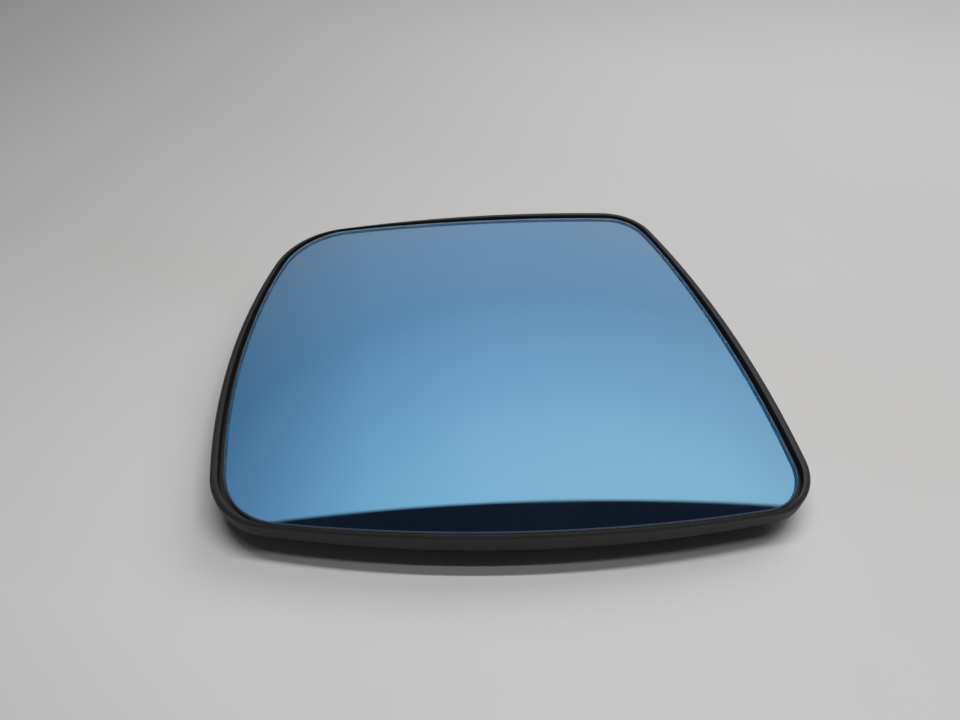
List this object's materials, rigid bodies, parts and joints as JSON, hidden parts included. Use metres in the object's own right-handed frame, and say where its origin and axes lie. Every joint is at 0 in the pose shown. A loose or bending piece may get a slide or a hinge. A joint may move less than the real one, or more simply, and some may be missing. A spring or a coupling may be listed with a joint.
{
  "type": "car door mirror glass",
  "caption": "Convex blue-tinted door mirror glass bonded into a black moulded holder, with a round clip ring on the back that snaps onto the mirror adjuster.",
  "frame": {"origin": "on the clip ring's axis in the plane of its mouth, under the middle of the holder's outline", "axes": "+Z along the clip ring's axis and out of the glass, +X towards the car's body, +Y up the mirror as it sits on the car"},
  "size_m": [0.1934, 0.1502, 0.019],
  "materials": {
    "blue_mirror": "blue coated convex glass with a ground edge",
    "adhesive": "matt adhesive sheet",
    "black_abs": "moulded, fine satin grain"
  },
  "bodies": {
    "root": {"mirror_glass": "blue_mirror", "adhesive_pad": "adhesive", "backing_plate": "black_abs"}
  },
  "joints": []
}
